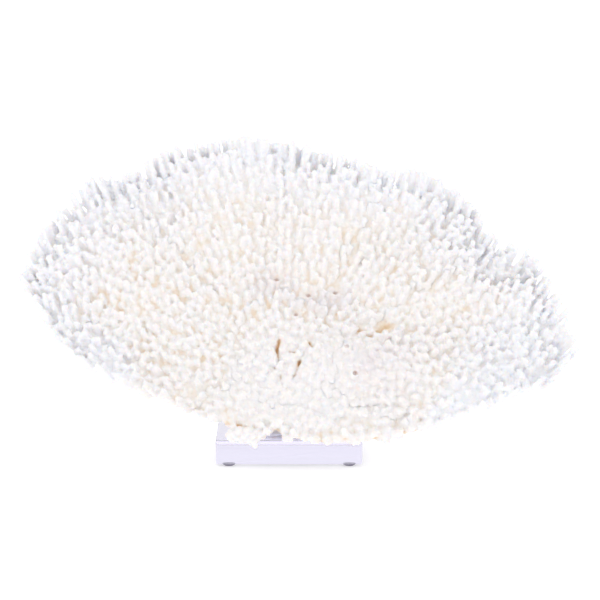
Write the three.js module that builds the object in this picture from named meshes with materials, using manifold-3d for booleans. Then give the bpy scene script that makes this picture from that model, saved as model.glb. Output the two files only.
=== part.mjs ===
// Table coral on a clear block. Millimetres, +Z up, the front towards -Y.
// The coral is one broad tilted fan of branchlets on a short stalk. Its lobes are
// height fields over the tilted fan plane: u runs to the right, v runs up the fan
// and w stands out of it towards the viewer, all from the growth centre.
import * as THREE from "three";
import { mergeVertices } from "three/addons/utils/BufferGeometryUtils.js";
import Module from "manifold-3d";

// The stand: a 6 by 4 by 1 inch block on four round bumper feet
const BLOCK = { width: 152.4, depth: 101.6, height: 25.4, cornerRadius: 2.5, edge: 0.6 };
const FOOT = { topDiameter: 14, bottomDiameter: 10.5, height: 3, fromCentreX: 62.7, fromCentreY: 42 };
const GLUE_GAP = 0.3;

// The fan
const GROWTH_CENTRE = new THREE.Vector3(-4, -24, 95);
const FAN_TILT = THREE.MathUtils.degToRad(60);
const CELL = 17.7; // distance between neighbouring branchlets
const CELL_JITTER = 2.2;
const SEAM_SETBACK = 0.21; // each lobe stays back this far from the seam with its neighbour
const CROWN = { u: 0, v: 20, radius: 56 };

// Reach of the outermost tips: direction about the growth centre in degrees, distance
const OUTLINE = [
  [1, 300], [12, 293], [24, 281], [29, 266], [32, 252], [38, 263], [51, 258], [57, 249], [63, 232], [70, 234],
  [78, 236], [99, 248], [117, 262], [133, 268], [139, 285], [154, 291], [163, 290], [167, 267],
  [174, 240], [181, 210], [187, 178], [192.5, 148], [199.5, 121], [213, 106], [230, 102], [243, 97],
  [253, 84], [257, 72], [265, 72], [284, 83], [294, 91], [309, 104], [320, 125], [330, 148],
  [338, 171], [344, 199], [349, 230], [355, 276],
];

// Lobes between the main forks, each from its first direction round to its second, in degrees
const LOBES = [
  { name: "coral_right_wing", from: -26, to: 30 },
  { name: "coral_back_right_fan", from: 30, to: 63 },
  { name: "coral_back_fan", from: 63, to: 134 },
  { name: "coral_left_wing", from: 134, to: 200 },
  { name: "coral_front_lip", from: 200, to: 334 },
];

// Relief of the fan's upper side
const BOWL = { depth: 34, reach: 190 };
const MOUND = { u: 74, v: 4, height: 20, radiusU: 52, radiusV: 30 };
const SHELF = { v: 82, fall: 13, width: 16, startU: 180, endU: 215 };
const LUMP = { u: -46, v: -72, drop: 5, radiusU: 26, radiusV: 16 };
const WAVES = { height: 4.5, lobes: 9, length: 61, startRadius: 60, fullRadius: 220 };

// Branchlets: length at the centre and along the rim, and the radius of their tips
const BRANCHLET = { centre: 8, rimBack: 25, rimSide: 17, rimFront: 13, tip: 3.9, knob: 6.4 };
// They lengthen outwards, first with the distance and then with their share of the way to the rim
const LENGTHENING = { share: 0.55, startRadius: 10, fullRadius: 120, rimShare: 0.45, rimStart: 0.3 };
const RIM_OVERHANG = 0.45; // share of its length by which a rim branchlet stands past the plate
const RIM_STRETCH = { least: 0.55, most: 1.4 };
const VARIATION = { length: 0.16, tipLevel: 0.35, tipTurn: 0.3 };

// Lean of the branchlets: how strongly they stand out of the plate, spread and turn up to the light
const LEAN = { out: 0.62, up: 0.62, centreUp: 0.3, frontEnd: -0.7, backFull: 0.35, fullRadius: 150 };
// Those at the sides spread less, but for the ones along the rim
const SPREAD = { centre: 0.2, rim: 0.42, sides: 0.35, rimStart: 0.82, rimFull: 0.97 };

// Where the fat knobs of the front lip stand
const LIP = { startV: -30, fullV: -70, leftEnd: -150, leftFull: -60, rightFull: 110, rightEnd: 190 };

// Thickness of the fused plate under the branchlets, which thins over these shares of the reach
const PLATE = { centre: 18, rim: 6.5, thinStart: 0.05, thinEnd: 0.9 };
// Ribs that wander out under the plate from the stalk and flatten towards the rim
const RIBS = { count: 19, height: 5, wander: 0.8, wanderLength: 40, start: 30, full: 90, flatten: 0.6 };

// The stalk from its flat cut up to the fan: centre, half width, half depth and lean in degrees
const STALK = [
  { centre: [0, 3, BLOCK.height + FOOT.height + GLUE_GAP], half: [37, 27], lean: 0 },
  { centre: [-1, 2, 36], half: [33, 24], lean: 6 },
  { centre: [-1, 2, 49], half: [30, 23], lean: 18 },
  { centre: [-2, 2, 63], half: [32, 25], lean: 32 },
  { centre: [-3, 0, 80], half: [36, 29], lean: 46 },
  { centre: [-4, -4, 98], half: [42, 35], lean: 58 },
  { centre: [-4, -11, 103], half: [43, 36], lean: 60 },
];
const STALK_SIDES = 18;
const STALK_SWELL = { lobes: 3, lobe: 0.07, turn: 1, flute: 0.05, chance: 0.03 };

const MATERIALS = {
  coral: new THREE.MeshStandardMaterial({ color: 0xf3efe9, roughness: 0.85, metalness: 0 }),
  acrylic: new THREE.MeshStandardMaterial({
    color: 0xe9e6f6,
    roughness: 0.05,
    metalness: 0,
    transparent: true,
    opacity: 0.4,
  }),
  bumper: new THREE.MeshStandardMaterial({ color: 0xd9d7e4, roughness: 0.25, metalness: 0 }),
};

const wasm = await Module();
wasm.setup();

const smooth = (from, to, x) => THREE.MathUtils.smoothstep(x, from, to);
const degrees = (u, v) => THREE.MathUtils.radToDeg(Math.atan2(v, u));

// A steady pseudo-random number from -1 to 1 for a whole-number pair and a channel.
function scatter(i, j, channel) {
  const x = Math.sin(i * 127.1 + j * 311.7 + channel * 74.7) * 43758.5453;
  return 2 * (x - Math.floor(x)) - 1;
}

// Distance from the growth centre to the outermost tips in one direction.
function reachAt(angle) {
  const a = THREE.MathUtils.euclideanModulo(angle - OUTLINE[0][0], 360) + OUTLINE[0][0];
  const k = OUTLINE.findLastIndex(([direction]) => direction <= a);
  const [a0, r0] = OUTLINE[k];
  const [a1, r1] = k + 1 < OUTLINE.length ? OUTLINE[k + 1] : [OUTLINE[0][0] + 360, OUTLINE[0][1]];
  return THREE.MathUtils.lerp(r0, r1, (a - a0) / (a1 - a0));
}

function hump(u, v, shape) {
  return Math.exp(-(((u - shape.u) / shape.radiusU) ** 2) - ((v - shape.v) / shape.radiusV) ** 2);
}

// Height of the plate's upper side out of the fan plane, between the branchlets.
function reliefAt(u, v) {
  const r = Math.hypot(u, v);
  const angle = Math.atan2(v, u);
  const bowl = BOWL.depth * (1 - Math.exp(-((r / BOWL.reach) ** 2)));
  const ledge = smooth(SHELF.v - SHELF.width / 2, SHELF.v + SHELF.width / 2, v);
  const shelf = SHELF.fall * ledge * smooth(SHELF.startU, SHELF.endU, u);
  const ripple = Math.sin(WAVES.lobes * angle + r / WAVES.length);
  const wave = WAVES.height * ripple * smooth(WAVES.startRadius, WAVES.fullRadius, r);
  return bowl + MOUND.height * hump(u, v, MOUND) - shelf - LUMP.drop * hump(u, v, LUMP) + wave;
}

// Growth direction of a branchlet: out of the plate, outwards from the centre and up to the light.
function growthAt(u, v) {
  const r = Math.hypot(u, v) || 1;
  const back = smooth(LEAN.frontEnd, LEAN.backFull, v / r);
  const distance = smooth(0, LEAN.fullRadius, r);
  const atRim = smooth(SPREAD.rimStart, SPREAD.rimFull, r / reachAt(degrees(u, v)));
  const along = THREE.MathUtils.lerp(SPREAD.sides, 1, Math.max(Math.abs(v / r), atRim));
  const outward = SPREAD.centre + SPREAD.rim * distance * along;
  const upward = LEAN.up * back * THREE.MathUtils.lerp(LEAN.centreUp, 1, distance);
  return new THREE.Vector3(
    (outward * u) / r,
    (outward * v) / r + upward * Math.sin(FAN_TILT),
    LEAN.out + upward * Math.cos(FAN_TILT),
  ).normalize();
}

function branchletLength(u, v) {
  const r = Math.hypot(u, v) || 1;
  const sine = v / r;
  const rimEnd = sine > 0 ? BRANCHLET.rimBack : BRANCHLET.rimFront;
  const rim = THREE.MathUtils.lerp(BRANCHLET.rimSide, rimEnd, Math.abs(sine));
  const way = smooth(LENGTHENING.rimStart, 1, r / reachAt(degrees(u, v)));
  const distance = smooth(LENGTHENING.startRadius, LENGTHENING.fullRadius, r);
  const outwards = LENGTHENING.share * distance + LENGTHENING.rimShare * way;
  return THREE.MathUtils.lerp(BRANCHLET.centre, rim, outwards);
}

function thicknessAt(u, v) {
  const r = Math.hypot(u, v);
  const outwards = smooth(PLATE.thinStart, PLATE.thinEnd, r / reachAt(degrees(u, v)));
  const wander = RIBS.wander * Math.sin(r / RIBS.wanderLength);
  const rib = RIBS.height * Math.cos(RIBS.count * Math.atan2(v, u) + wander);
  const ribFade = smooth(RIBS.start, RIBS.full, r) * (1 - RIBS.flatten * outwards);
  return THREE.MathUtils.lerp(PLATE.centre, PLATE.rim, outwards) + rib * ribFade;
}

const ACROSS = new THREE.Vector3(1, 0, 0);
const UP_FAN = new THREE.Vector3(0, Math.cos(FAN_TILT), Math.sin(FAN_TILT));
const OUT_OF_FAN = new THREE.Vector3(0, -Math.sin(FAN_TILT), Math.cos(FAN_TILT));

function place(u, v, w) {
  return GROWTH_CENTRE.clone()
    .addScaledVector(ACROSS, u)
    .addScaledVector(UP_FAN, v)
    .addScaledVector(OUT_OF_FAN, w);
}

// The branchlets stand on a lattice of six-sided cells with columns that run up the fan.
const COLUMN = (CELL * Math.sqrt(3)) / 2;
const CELL_RADIUS = CELL / Math.sqrt(3);

function cellCentre(column, row) {
  return [column * COLUMN, (row + (column % 2 ? 0.5 : 0)) * CELL];
}

// The six corners of a cell, each with a key that its neighbours share.
function cellCorners(column, row) {
  const [u, v] = cellCentre(column, row);
  return Array.from({ length: 6 }, (_, k) => {
    const cornerU = u + CELL_RADIUS * Math.cos((k * Math.PI) / 3);
    const cornerV = v + CELL_RADIUS * Math.sin((k * Math.PI) / 3);
    const keyU = Math.round((2 * cornerU) / CELL_RADIUS);
    const keyV = Math.round((2 * cornerV) / CELL);
    return {
      key: keyU + "," + keyV,
      u: cornerU + CELL_JITTER * scatter(keyU, keyV, 1),
      v: cornerV + CELL_JITTER * scatter(keyU, keyV, 2),
    };
  });
}

// How far a rim branchlet may grow in the plane of the fan, so that its tip meets the outline.
function rimStretch(u, v, growth, length) {
  const r = Math.hypot(u, v);
  const tipRadius = Math.hypot(u + growth.x * length, v + growth.y * length);
  const wanted = reachAt(degrees(u, v)) - r;
  return THREE.MathUtils.clamp(wanted / Math.max(tipRadius - r, 1), RIM_STRETCH.least, RIM_STRETCH.most);
}

// How much of a front lip knob a branchlet is, from 0 to 1.
function lipShare(u, v) {
  const left = smooth(LIP.leftEnd, LIP.leftFull, u);
  const right = 1 - smooth(LIP.rightFull, LIP.rightEnd, u);
  return (1 - smooth(LIP.fullV, LIP.startV, v)) * left * right;
}

// All cells of the fan, each given to the crown round the growth centre or to a lobe.
function growCells() {
  const cells = new Map();
  const most = Math.ceil(Math.max(...OUTLINE.map(([, distance]) => distance)) / COLUMN);
  for (let column = -most; column <= most; column++) {
    for (let row = -most; row <= most; row++) {
      const [u, v] = cellCentre(column, row);
      const r = Math.hypot(u, v);
      const angle = degrees(u, v);
      if (r > reachAt(angle) - RIM_OVERHANG * branchletLength(u, v) - CELL_RADIUS / 4) continue;
      const turned = (from) => THREE.MathUtils.euclideanModulo(angle - from, 360);
      const lobe = LOBES.find(({ from, to }) => turned(from) < to - from);
      const inCrown = Math.hypot(u - CROWN.u, v - CROWN.v) < CROWN.radius;
      cells.set(column + "," + row, { column, row, u, v, owner: inCrown ? "crown" : lobe.name });
    }
  }
  return cells;
}

function neighboursOf({ column, row }) {
  const odd = column % 2 ? 1 : 0;
  return [
    [column + 1, row + odd],
    [column, row + 1],
    [column - 1, row + odd],
    [column - 1, row - 1 + odd],
    [column, row - 1],
    [column + 1, row - 1 + odd],
  ].map(([c, r]) => c + "," + r);
}

// One lobe as a closed solid: branchlets above, the ribbed plate below, walls round its edge.
function lobeSolid(cells, owner) {
  const own = [...cells.values()].filter((cell) => cell.owner === owner);
  const pulls = new Map();
  for (const cell of own) {
    for (const corner of cellCorners(cell.column, cell.row)) {
      const pull = pulls.get(corner.key) ?? { u: 0, v: 0, count: 0 };
      pull.u += cell.u - corner.u;
      pull.v += cell.v - corner.v;
      pull.count += 1;
      pulls.set(corner.key, pull);
    }
  }
  const positions = [];
  const triangle = (...points) => points.forEach((p) => positions.push(p.x, p.y, p.z));
  for (const cell of own) {
    const corners = cellCorners(cell.column, cell.row).map((corner) => {
      const pull = pulls.get(corner.key);
      const inward = pull.count < 3 ? SEAM_SETBACK / Math.hypot(pull.u, pull.v) : 0;
      const u = corner.u + inward * pull.u;
      const v = corner.v + inward * pull.v;
      const top = reliefAt(corner.u, corner.v);
      return { top: place(u, v, top), bottom: place(u, v, top - thicknessAt(corner.u, corner.v)) };
    });
    const growth = growthAt(cell.u, cell.v);
    const around = neighboursOf(cell);
    const atRim = around.some((key) => !cells.has(key));
    const chance = 1 + VARIATION.length * scatter(cell.column, cell.row, 3);
    let length = branchletLength(cell.u, cell.v) * chance;
    if (atRim) length *= rimStretch(cell.u, cell.v, growth, length);
    const tipRadius = THREE.MathUtils.lerp(BRANCHLET.tip, BRANCHLET.knob, lipShare(cell.u, cell.v));
    const top = reliefAt(cell.u, cell.v);
    const tips = [1, 3, 5].map((k) => {
      const a = (k * Math.PI) / 3 + VARIATION.tipTurn * scatter(cell.column, cell.row, 4);
      const along = length + VARIATION.tipLevel * tipRadius * scatter(cell.column, cell.row, 4 + k);
      return place(
        cell.u + along * growth.x + tipRadius * Math.cos(a),
        cell.v + along * growth.y + tipRadius * Math.sin(a),
        top + along * growth.z,
      );
    });
    for (let k = 0; k < 3; k++) {
      const [before, under, after] = [corners[2 * k], corners[2 * k + 1], corners[(2 * k + 2) % 6]];
      triangle(before.top, under.top, tips[k]);
      triangle(under.top, after.top, tips[k]);
      triangle(after.top, tips[(k + 1) % 3], tips[k]);
    }
    triangle(...tips);
    for (let k = 1; k < 5; k++) triangle(corners[0].bottom, corners[k + 1].bottom, corners[k].bottom);
    around.forEach((key, k) => {
      if (cells.get(key)?.owner === owner) return;
      const [a, b] = [corners[k], corners[(k + 1) % 6]];
      triangle(a.top, a.bottom, b.bottom);
      triangle(a.top, b.bottom, b.top);
    });
  }
  return solidFrom(positions);
}

function solidFrom(positions) {
  const soup = new THREE.BufferGeometry();
  soup.setAttribute("position", new THREE.Float32BufferAttribute(positions, 3));
  const merged = mergeVertices(soup, 1e-3);
  return new wasm.Manifold(
    new wasm.Mesh({
      numProp: 3,
      vertProperties: merged.attributes.position.array,
      triVerts: new Uint32Array(merged.index.array),
    }),
  );
}

function geometryOf(solid) {
  const mesh = solid.getMesh();
  return new THREE.BufferGeometry()
    .setAttribute("position", new THREE.BufferAttribute(new Float32Array(mesh.vertProperties), 3))
    .setIndex(new THREE.BufferAttribute(new Uint32Array(mesh.triVerts), 1));
}

// The stalk, lofted from its flat cut on the block through rings that lean over to the fan.
function stalkSolid() {
  const rings = STALK.map(({ centre, half, lean }, level) => {
    const tilt = THREE.MathUtils.degToRad(lean);
    const backwards = new THREE.Vector3(0, Math.cos(tilt), Math.sin(tilt));
    return Array.from({ length: STALK_SIDES }, (_, k) => {
      const a = (k * 2 * Math.PI) / STALK_SIDES;
      const lobed = STALK_SWELL.lobe * Math.sin(STALK_SWELL.lobes * a + STALK_SWELL.turn);
      const fluted = STALK_SWELL.flute * (k % 2 ? 1 : -1);
      const swell = 1 + lobed + fluted + STALK_SWELL.chance * scatter(k, level, 7);
      return new THREE.Vector3(...centre)
        .addScaledVector(ACROSS, half[0] * swell * Math.cos(a))
        .addScaledVector(backwards, half[1] * swell * Math.sin(a));
    });
  });
  const positions = [];
  const triangle = (...points) => points.forEach((p) => positions.push(p.x, p.y, p.z));
  for (let k = 0; k < STALK_SIDES; k++) {
    const next = (k + 1) % STALK_SIDES;
    for (let level = 0; level + 1 < rings.length; level++) {
      const [low, high] = [rings[level], rings[level + 1]];
      triangle(low[k], low[next], high[next]);
      triangle(low[k], high[next], high[k]);
    }
    if (k > 0 && next > 0) {
      triangle(rings[0][0], rings[0][next], rings[0][k]);
      triangle(rings.at(-1)[0], rings.at(-1)[k], rings.at(-1)[next]);
    }
  }
  return solidFrom(positions);
}

function blockGeometry() {
  const { width, depth, height, cornerRadius, edge } = BLOCK;
  const [w, d] = [width / 2 - edge, depth / 2 - edge];
  const shape = new THREE.Shape();
  shape.moveTo(-w + cornerRadius, -d);
  shape.absarc(w - cornerRadius, -d + cornerRadius, cornerRadius, -Math.PI / 2, 0);
  shape.absarc(w - cornerRadius, d - cornerRadius, cornerRadius, 0, Math.PI / 2);
  shape.absarc(-w + cornerRadius, d - cornerRadius, cornerRadius, Math.PI / 2, Math.PI);
  shape.absarc(-w + cornerRadius, -d + cornerRadius, cornerRadius, Math.PI, 1.5 * Math.PI);
  const geometry = new THREE.ExtrudeGeometry(shape, {
    depth: height - 2 * edge,
    bevelThickness: edge,
    bevelSize: edge,
    bevelSegments: 1,
    curveSegments: 5,
  });
  return geometry.translate(0, 0, FOOT.height + edge);
}

// A soft bumper foot: flat underneath, with a rounded skirt that widens up to the block.
function footGeometry() {
  const { topDiameter, bottomDiameter, height } = FOOT;
  const [top, bottom] = [topDiameter / 2, bottomDiameter / 2];
  const profile = [new THREE.Vector2(0, 0)];
  const skirtSteps = 3;
  for (let k = 0; k <= skirtSteps; k++) {
    const a = (k / skirtSteps) * (Math.PI / 2);
    const radius = bottom + (top - bottom) * Math.sin(a);
    profile.push(new THREE.Vector2(radius, (height - GLUE_GAP) * (1 - Math.cos(a))));
  }
  profile.push(new THREE.Vector2(0, height - GLUE_GAP));
  return new THREE.LatheGeometry(profile, 16).rotateX(Math.PI / 2);
}

const model = new THREE.Group();

function add(name, geometry, material) {
  const mesh = new THREE.Mesh(geometry, material);
  mesh.name = name;
  model.add(mesh);
  return mesh;
}

const cells = growCells();
const crown = lobeSolid(cells, "crown");
add("coral_stalk", geometryOf(stalkSolid().add(crown)), MATERIALS.coral);
for (const { name } of LOBES) add(name, geometryOf(lobeSolid(cells, name)), MATERIALS.coral);

add("acrylic_block", blockGeometry(), MATERIALS.acrylic);
for (const [side, sideX] of [["left", -1], ["right", 1]]) {
  for (const [end, endY] of [["front", -1], ["back", 1]]) {
    const foot = add(`bumper_foot_${end}_${side}`, footGeometry(), MATERIALS.bumper);
    foot.position.set(sideX * FOOT.fromCentreX, endY * FOOT.fromCentreY, 0);
  }
}

// The origin is the middle of the underside of the whole object's bounding box.
model.updateMatrixWorld(true);
const bounds = new THREE.Box3().setFromObject(model);
const middle = bounds.getCenter(new THREE.Vector3());
const origin = new THREE.Vector3(middle.x, middle.y, bounds.min.z);
for (const mesh of model.children) mesh.position.sub(origin);

export default model;
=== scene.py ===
import contextlib
import functools
import math

import bpy
import numpy as np
from bpy.props import FloatProperty, IntProperty, PointerProperty, StringProperty
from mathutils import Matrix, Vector


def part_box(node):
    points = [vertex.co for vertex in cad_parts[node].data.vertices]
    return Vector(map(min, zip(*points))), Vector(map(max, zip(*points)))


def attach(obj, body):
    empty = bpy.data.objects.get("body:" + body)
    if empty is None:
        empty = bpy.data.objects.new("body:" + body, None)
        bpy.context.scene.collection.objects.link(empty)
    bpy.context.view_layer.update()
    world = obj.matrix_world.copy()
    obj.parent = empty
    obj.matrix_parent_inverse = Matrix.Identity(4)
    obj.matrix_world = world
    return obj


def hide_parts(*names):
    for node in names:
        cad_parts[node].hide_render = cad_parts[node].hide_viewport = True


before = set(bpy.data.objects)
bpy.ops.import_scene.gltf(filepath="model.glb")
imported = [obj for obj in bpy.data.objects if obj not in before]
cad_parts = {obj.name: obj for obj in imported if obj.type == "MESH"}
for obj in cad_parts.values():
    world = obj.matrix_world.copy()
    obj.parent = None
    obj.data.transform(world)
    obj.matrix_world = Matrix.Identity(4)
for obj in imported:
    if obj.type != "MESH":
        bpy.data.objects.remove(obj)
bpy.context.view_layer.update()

bl_info = {
    "name": "Table coral on a clear block",
    "version": (1, 0, 0),
    "blender": (4, 5, 0),
    "location": "3D View > Sidebar > Table coral",
    "description": "Grows a bleached table coral, lobe by lobe, on a clear block with bumper feet",
    "category": "Add Mesh",
}

MM = 0.001
BLOCK_LOW, BLOCK_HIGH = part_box("acrylic_block")
BLOCK_MIDDLE = (BLOCK_LOW + BLOCK_HIGH) / 2
FOOT_NODES = [f"bumper_foot_{end}_{side}" for end in ("front", "back") for side in ("left", "right")]

# The fan plane leans back from the floor by its tilt. Its growth centre is measured in millimetres from the
# middle of the block's footprint. On the plane u runs to the right, v up the slope and w out of it.
FAN_TILT = math.radians(60)
FAN_AXES = np.array([[1, 0, 0], [0, math.cos(FAN_TILT), math.sin(FAN_TILT)],
                     [0, -math.sin(FAN_TILT), math.cos(FAN_TILT)]])
GROWTH_CENTRE = np.array([-4, -24, 95]) + np.array([BLOCK_MIDDLE.x, BLOCK_MIDDLE.y, 0]) / MM

# The crown round the growth centre, which belongs to the stalk
CROWN = {"u": 0, "v": 20, "radius": 56}

# Reach of the outermost tips: direction about the growth centre in degrees, distance
OUTLINE = [
    (1, 300), (12, 293), (24, 281), (29, 266), (32, 252), (38, 263), (51, 258), (57, 249), (63, 232),
    (70, 234), (78, 236), (99, 248), (117, 262), (133, 268), (139, 285), (154, 291), (163, 290), (167, 267),
    (174, 240), (181, 210), (187, 178), (192.5, 148), (199.5, 121), (213, 106), (230, 102), (243, 97),
    (253, 84), (257, 72), (265, 72), (284, 83), (294, 91), (309, 104), (320, 125), (330, 148),
    (338, 171), (344, 199), (349, 230), (355, 276),
]

# The tips fall short left of the lump, where the lip draws back from the block's corner
DENT = {"direction": 222, "width": 14, "depth": 14}

# Lobes between the main forks, each from its first direction round to its second, in degrees
LOBES = {
    "coral_right_wing": (-26, 30),
    "coral_back_right_fan": (30, 63),
    "coral_back_fan": (63, 134),
    "coral_left_wing": (134, 200),
    "coral_front_lip": (200, 334),
}

# Each lobe's plate runs on past its seams by a strip that sinks into the neighbour at a slope. The seams
# swing from side to side, and a row of branchlets stands astride each, so that no straight line shows.
SEAM = {"strip": 5, "slope": 0.4, "swing": 4, "pitch": 4.6, "crown_swing": 2.5, "crown_waves": 9}
SEAM_ROW = {"spacing": 0.86, "from_crown": 4, "from_tips": 6, "stray": 0.8}

# A branchlet this near a neighbouring lobe grows on both, a little slimmer on the neighbour
SHARED = {"distance": 6, "size": 0.8}

# Relief of the fan's upper side, the same as the solids'
BOWL = {"depth": 34, "reach": 190}
MOUND = {"u": 74, "v": 4, "height": 20, "radius_u": 52, "radius_v": 30}
SHELF = {"v": 82, "fall": 13, "width": 16, "start_u": 180, "end_u": 215}
LUMP = {"u": -46, "v": -72, "drop": 5, "radius_u": 26, "radius_v": 16}
WAVES = {"height": 4.5, "lobes": 9, "length": 61}
PLATE = {"centre": 18, "rim": 6.5}

# The grid that a lobe's plate is cut from: cell, width, height and the middle's v
GRID = {"cell": 3.0, "width": 620, "height": 420, "middle": 90}

# Lean of the branchlets: how strongly they stand out of the plate, turn up to the light and spread
LEAN = {"out": 0.62, "up": 0.62, "centre_up": 0.3, "front_end": -0.7, "back_full": 0.35, "full_radius": 150}
SPREAD = {"centre": 0.2, "rim": 0.42, "sides": 0.35, "rim_start": 0.82, "rim_full": 0.97}

# Clefts round the growth centre and the fold above the mound: a line of (u, v), half width and depth
CLEFTS = [
    {"line": [(-6, 34), (-9, 22), (-7, 12), (-10, 2)], "half_width": 1.5, "depth": 7.5},
    {"line": [(-5, -6), (-3, -15)], "half_width": 1.3, "depth": 5},
    {"line": [(15, 9), (12, 0), (8, -10)], "half_width": 1.5, "depth": 7},
    {"line": [(5, 20), (9, 19)], "half_width": 1.5, "depth": 5},
    {"line": [(14, 23), (18, 17)], "half_width": 1.6, "depth": 6},
    {"line": [(25, 29), (29, 23)], "half_width": 1.6, "depth": 6},
    {"line": [(60, 57), (86, 31), (106, 44)], "half_width": 2.4, "depth": 2.6},
    {"line": [(-62, -57), (-45, -60), (-29, -62)], "half_width": 1.8, "depth": 4},
]

# Patches where the skeleton is greyish and dusty: place and half sizes
DUSTY = [
    {"u": -15, "v": 92, "radius_u": 26, "radius_v": 14},
    {"u": 40, "v": 74, "radius_u": 30, "radius_v": 12},
    {"u": 92, "v": 0, "radius_u": 30, "radius_v": 26},
]

# Round the growth centre the stubs are fused up to this height above the plate
FUSED = {"v": -12, "reach": 70, "fill": 3.5}

# Elsewhere the plate reaches up round the branchlets by this share of their length, less so at the rim
WEBBED = {"share": 0.3, "full": 0.86, "none": 1.0}

# Fat knobs line the front lip's edge between two directions, but for a notch in the rows nearer the tips
# than NOTCHED. Each row has its distance from the tips and its turn, a share of the step from knob to knob.
LIP_EDGE = (218, 330)
LIP_NOTCH = (250, 262)
NOTCHED = 25
LIP_ROWS = ((13, 0.0), (22, 0.5), (31, 0.0), (40, 0.5))
RIM_KNOB = {"step": 11.2, "length": 9, "radius": 5.7, "out": 0.75, "up": 0.1, "rise": 0.6}

# Broken-off stubs whose open ends show, and their size
OPEN_STUBS = [(-9, 91), (23, 75), (50, 76), (11, 56), (62, 15), (69, -11)]
OPEN_STUB = {"length": 8, "radius": 4.4, "sides": 12, "pore": 2.6}

# Rows start round the growth centre, end short of the tips and fork where they are this many spacings apart
ROWS = {"first": 7, "start": 4.0, "end": 320, "from_tips": 5, "fork": 1.45}

# Branchlets of each sort keep this share of the spacing from all that were placed before
APART = {"row": 0.76, "young": 0.61, "twig": 0.42}

# Places on offer for young branchlets: a grid's step and how far they stray from it
OFFER = {"step": 4, "stray": 1.6, "from_tips": 3, "from_lip": 13, "rim": 0.9}

# Thin twigs between the outermost fingers: radius, step along the rim and distance from the tips
TWIG = {"radius": 2.4, "step": 5.2, "from_tips": (9, 17)}

# Ribs underneath: radius at the centre and the rim, distance of their ends from the tips, and how stout
# they are along a seam. Links: the share of neighbours that they join, how stout they are and their lift.
RIB = {"centre": 3.5, "rim": 2.4, "from_tips": 9, "seam": 1.5}
LINK = {"share": 0.42, "stout": 0.8, "lift": 0.8}

# The lump's body: half sizes as shares of the lump's, its half height, and its shift right, up and out
LUMP_BODY = {"share_u": 0.62, "share_v": 0.42, "half_height": 8.5, "shift": 3}
LUMP_KNOBS = {"number": 34, "smallest": 2.9, "largest": 4.3}

# About the golden angle, in radians, which spreads cups and knobs evenly
GOLDEN_TURN = 2.4

# The block's upright corners: radius and segments
BLOCK_CORNER = (2.5, 6)

# A foot's sides, its outline from the top down as height and radius, and how far a front foot's top reaches
# into the block, so that it shows through it as glue does where it wets the acrylic
FOOT_SIDES = 24
FOOT_OUTLINE = [(2.98, 6.7), (2.6, 7.0), (1.9, 6.95), (1.1, 6.5), (0.5, 5.8), (0.12, 5.0), (0.0, 4.2)]
FOOT_WETTING = 0.02

# Where the camera aims, from the block's middle and the floor in millimetres, and its lens
AIM = (11.4, -18.4, 170.9)
LENS = {"sensor": 36, "focal": 126.9}

# Soft lights: name, place, size, power and colour. The pale floor glows a little, as backlit paper does.
LIGHTS = (
    ("key", (-0.9, -1.0, 1.7), 1.0, 1.8, "FFFDF8"),
    ("fill", (1.3, -1.2, 0.9), 1.4, 0.5, "F8FAFF"),
)
STUDIO = {"colour": "FEFEFF", "strength": 0.99}
FLOOR = {"size": 60, "colour": "D8D8DA", "glow": 0.5}


class FanSizes(bpy.types.PropertyGroup):
    """How closely the branchlets stand and how finely the skin is drawn."""

    spacing: FloatProperty(
        name="Spacing", description="Distance between neighbouring branchlets",
        default=8.5 * MM, unit="LENGTH",
    )
    lip_spacing: FloatProperty(
        name="Lip spacing", description="Distance between the fat knobs of the front lip",
        default=10.8 * MM, unit="LENGTH",
    )
    skin: FloatProperty(
        name="Skin cell", description="Size of the cells that fuse branchlets and plate into one skin",
        default=1.15 * MM, unit="LENGTH",
    )
    kept: FloatProperty(
        name="Faces kept", description="Share of the skin's faces that stay where it is thinned out",
        default=0.52, subtype="FACTOR",
    )
    seed: IntProperty(name="Seed", description="Starts the chance variations", default=7)


class BranchletSizes(bpy.types.PropertyGroup):
    """Lengths and radii of the branchlets."""

    centre: FloatProperty(name="At the centre", description="Length", default=8 * MM, unit="LENGTH")
    rim_back: FloatProperty(name="Back rim", description="Length", default=25 * MM, unit="LENGTH")
    rim_side: FloatProperty(name="Side rim", description="Length", default=17 * MM, unit="LENGTH")
    rim_front: FloatProperty(name="Front rim", description="Length", default=13 * MM, unit="LENGTH")
    radius: FloatProperty(name="Fingers", description="Radius", default=4.1 * MM, unit="LENGTH")
    knob_radius: FloatProperty(name="Lip knobs", description="Radius", default=5.1 * MM, unit="LENGTH")


class CoralColours(bpy.types.PropertyGroup):
    """Colours of the bleached skeleton, as linear values worked out from sRGB hex."""

    tip: StringProperty(name="Tips", description="sRGB hex", default="F4F1F0")
    rim_tip: StringProperty(name="Tips at the rim", description="sRGB hex", default="F3F3F6")
    flank: StringProperty(name="Flanks", description="sRGB hex", default="F4EFEA")
    # The gap colour is partly the skeleton's old warm stain and partly painted shade deep between the
    # branchlets
    gap: StringProperty(name="Gaps", description="sRGB hex", default="EDD6B8")
    # The cleft colour is a warm stain deepened as painted shade in the clefts
    cleft: StringProperty(name="Clefts", description="sRGB hex", default="E6BC8C")
    dust: StringProperty(name="Dusty patches", description="sRGB hex", default="E6E0E2")
    # The pore colour is painted shade in the sunk open pores
    pore: StringProperty(name="Open pores", description="sRGB hex", default="C4ABA2")


class StandSizes(bpy.types.PropertyGroup):
    """The clear block's finish."""

    edge: FloatProperty(name="Edge", description="Polished edge's width", default=0.7 * MM, unit="LENGTH")
    acrylic_ior: FloatProperty(name="Acrylic IOR", description="Index of refraction", default=1.49)


class StageSettings(bpy.types.PropertyGroup):
    """Camera and light."""

    elevation: FloatProperty(name="Elevation", default=math.radians(11), subtype="ANGLE",
                             description="How far the camera looks down")
    distance: FloatProperty(name="Distance", default=2.2, unit="LENGTH",
                            description="From the block's front to the camera")


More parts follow.
